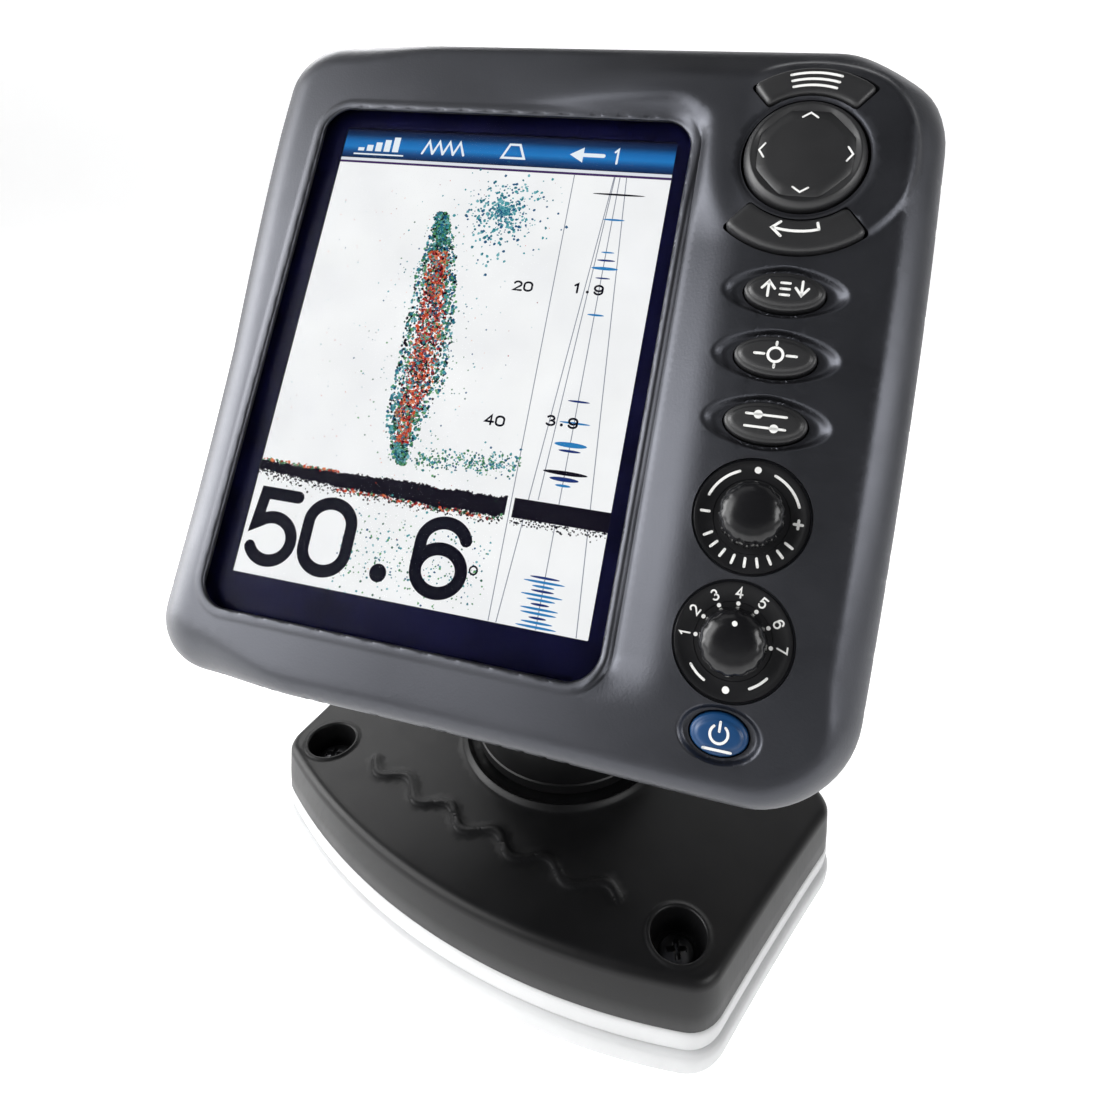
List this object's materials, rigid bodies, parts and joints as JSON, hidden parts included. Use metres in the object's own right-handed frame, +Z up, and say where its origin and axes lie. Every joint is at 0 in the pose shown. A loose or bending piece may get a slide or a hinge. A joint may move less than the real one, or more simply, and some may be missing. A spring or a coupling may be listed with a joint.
{
  "type": "fish finder",
  "caption": "Portrait-screen fish finder display with side keys and knobs, on a tilt and swivel stand with a bowed deck base.",
  "frame": {"origin": "on the swivel axis, at the underside of the deck pad that the stand rests on", "axes": "+Z up along the swivel axis, -Y towards the bowed front of the base, +X to the viewer's right"},
  "size_m": [0.1854, 0.1544, 0.2337],
  "materials": {
    "housing_plastic": "fine moulded texture, charcoal",
    "stand_plastic": "satin black moulding with a fine grain",
    "key_rubber": "soft-touch black",
    "knob_plastic": "semi-gloss black with white print",
    "power_blue": "blue moulded key with white print",
    "deck_white": "white moulding",
    "seal_rubber": "black elastomer",
    "window_glass": "clear window with a black printed edge",
    "screen_face": "lit liquid-crystal picture",
    "circuit_board": "green solder mask",
    "steel": "stainless",
    "brass_metal": "turned brass",
    "bearing_plastic": "natural acetal"
  },
  "bodies": {
    "base": {"deck_pad": "deck_white", "deck_spacer": "deck_white", "base_cover": "stand_plastic", "base_screw_front_left": "steel", "base_screw_front_right": "steel", "base_screw_rear_left": "steel", "base_screw_rear_right": "steel", "swivel_bush": "bearing_plastic", "wave_washer": "steel", "swivel_washer": "bearing_plastic"},
    "stand_arm": {"turret": "stand_plastic", "turret_insert": "brass_metal", "spindle_bolt": "steel", "tilt_bolt": "steel"},
    "display": {"tilt_bracket": "stand_plastic", "bracket_screw_upper_left": "steel", "bracket_screw_upper_right": "steel", "bracket_screw_lower_left": "steel", "bracket_screw_lower_right": "steel", "tilt_washer_left": "seal_rubber", "tilt_washer_right": "seal_rubber", "front_housing": "housing_plastic", "rear_housing": "housing_plastic", "housing_seal": "seal_rubber", "rear_screw_upper_left": "steel", "rear_screw_upper_right": "steel", "rear_screw_lower_left": "steel", "rear_screw_lower_right": "steel", "power_socket": "stand_plastic", "transducer_socket": "stand_plastic", "ground_terminal": "brass_metal", "window_lens": "window_glass", "window_gasket": "seal_rubber", "lcd_panel": "screen_face", "lcd_frame": "steel", "backlight_unit": "bearing_plastic", "main_board": "circuit_board", "sonar_board": "circuit_board", "key_board": "circuit_board", "keypad_mat": "seal_rubber", "gain_encoder": "steel", "mode_switch": "steel", "gain_dial_ring": "knob_plastic", "mode_dial_ring": "knob_plastic"},
    "tilt_knob_l": {"tilt_knob_left": "stand_plastic"},
    "tilt_knob_r": {"tilt_knob_right": "stand_plastic"},
    "range_button": {"range_key": "key_rubber"},
    "mark_button": {"mark_key": "key_rubber"},
    "function_button": {"func_key": "key_rubber"},
    "power_button": {"power_key": "power_blue"},
    "menu_button": {"menu_key": "key_rubber"},
    "enter_button": {"enter_key": "key_rubber"},
    "dpad_ring": {"dpad_gimbal": "bearing_plastic"},
    "dpad_disc": {"dpad_cap": "key_rubber"},
    "gain_plunger": {"gain_shaft": "steel"},
    "gain_dial": {"gain_knob": "knob_plastic"},
    "mode_dial": {"mode_shaft": "steel", "mode_knob": "knob_plastic"}
  },
  "joints": [
    {"name": "swivel", "type": "hinge", "parent": "base", "child": "stand_arm", "pos_m": [0, 0, 0.0299], "axis": [0, 0, 1], "range_deg": [-104.47, 75.53]},
    {"name": "tilt", "type": "hinge", "parent": "stand_arm", "child": "display", "pos_m": [0, 0, 0.09945], "axis": [-0.9683, -0.2499, 0], "range_deg": [-33.27, 30]},
    {"name": "tilt_knob_left_turn", "type": "hinge", "parent": "display", "child": "tilt_knob_l", "pos_m": [0, 0, 0.09945], "axis": [-0.9683, -0.2499, 0], "range_deg": [0, 360]},
    {"name": "tilt_knob_right_turn", "type": "hinge", "parent": "display", "child": "tilt_knob_r", "pos_m": [0, 0, 0.09945], "axis": [0.9683, 0.2499, 0], "range_deg": [0, 360]},
    {"name": "range_press", "type": "slide", "parent": "display", "child": "range_button", "axis": [-0.2089, 0.8096, -0.5486], "range_m": [0, 0.0009], "stiffness_N_per_m": 1500, "springref_m": -0.0004},
    {"name": "mark_press", "type": "slide", "parent": "display", "child": "mark_button", "axis": [-0.2089, 0.8096, -0.5486], "range_m": [0, 0.0009], "stiffness_N_per_m": 1500, "springref_m": -0.0004},
    {"name": "function_press", "type": "slide", "parent": "display", "child": "function_button", "axis": [-0.2089, 0.8096, -0.5486], "range_m": [0, 0.0009], "stiffness_N_per_m": 1500, "springref_m": -0.0004},
    {"name": "power_press", "type": "slide", "parent": "display", "child": "power_button", "axis": [-0.2089, 0.8096, -0.5486], "range_m": [0, 0.0009], "stiffness_N_per_m": 1500, "springref_m": -0.0004},
    {"name": "menu_press", "type": "slide", "parent": "display", "child": "menu_button", "axis": [-0.2089, 0.8096, -0.5486], "range_m": [0, 0.0009], "stiffness_N_per_m": 1500, "springref_m": -0.0004},
    {"name": "enter_press", "type": "slide", "parent": "display", "child": "enter_button", "axis": [-0.2089, 0.8096, -0.5486], "range_m": [0, 0.0009], "stiffness_N_per_m": 1500, "springref_m": -0.0004},
    {"name": "dpad_rock_up_down", "type": "hinge", "parent": "display", "child": "dpad_ring", "pos_m": [0.05134, 0.00957, 0.20704], "axis": [0.9683, 0.2499, 0], "range_deg": [-4, 4], "stiffness_Nm_per_rad": 0.3},
    {"name": "dpad_rock_left_right", "type": "hinge", "parent": "dpad_ring", "child": "dpad_disc", "pos_m": [0.05134, 0.00957, 0.20704], "axis": [-0.1371, 0.5312, 0.8361], "range_deg": [-4, 4], "stiffness_Nm_per_rad": 0.3},
    {"name": "gain_push", "type": "slide", "parent": "display", "child": "gain_plunger", "axis": [-0.2089, 0.8096, -0.5486], "range_m": [0, 0.0008], "stiffness_N_per_m": 1500, "springref_m": -0.0004},
    {"name": "gain_turn", "type": "hinge", "parent": "gain_plunger", "child": "gain_dial", "pos_m": [0.0633, -0.03677, 0.14503], "axis": [0.2089, -0.8096, 0.5486], "continuous": true},
    {"name": "mode_turn", "type": "hinge", "parent": "display", "child": "mode_dial", "pos_m": [0.06663, -0.04968, 0.12471], "axis": [0.2089, -0.8096, 0.5486], "range_deg": [-90, 90]}
  ]
}
